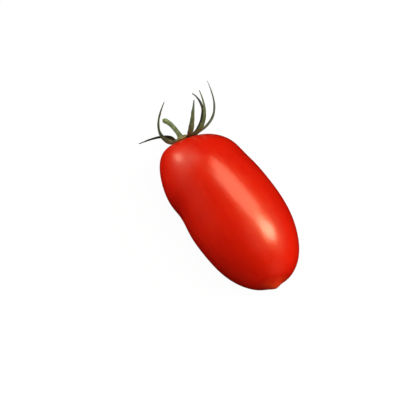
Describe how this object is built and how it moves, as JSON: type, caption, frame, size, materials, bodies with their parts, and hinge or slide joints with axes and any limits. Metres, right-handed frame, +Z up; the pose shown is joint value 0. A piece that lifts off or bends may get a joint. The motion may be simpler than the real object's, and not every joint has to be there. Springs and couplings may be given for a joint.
{
  "type": "plum tomato",
  "caption": "Ripe elongated plum tomato lying on its side, with a leafy calyx of curled sepals and a short stub of stem at one end.",
  "frame": {"origin": "middle of the small flat under the fruit, on the surface that it lies on", "axes": "+Z up from the resting surface, +Y along the fruit towards its stem end, +X across it, to the right when seen from above with the stem end away"},
  "size_m": [0.0585, 0.1162, 0.0472],
  "materials": {
    "tomato_skin": "smooth, waxy, glossy ripe skin",
    "calyx_green": "matte, fibrous, finely hairy",
    "sepal_green": "matte, veined, finely hairy leaf",
    "pedicel_green": "matte, ribbed, finely hairy stem"
  },
  "bodies": {
    "root": {"fruit": "tomato_skin", "calyx_disc": "calyx_green", "sepal_1": "sepal_green", "sepal_2": "sepal_green", "sepal_3": "sepal_green", "sepal_4": "sepal_green", "sepal_5": "sepal_green", "sepal_6": "sepal_green", "pedicel": "pedicel_green"}
  },
  "joints": []
}
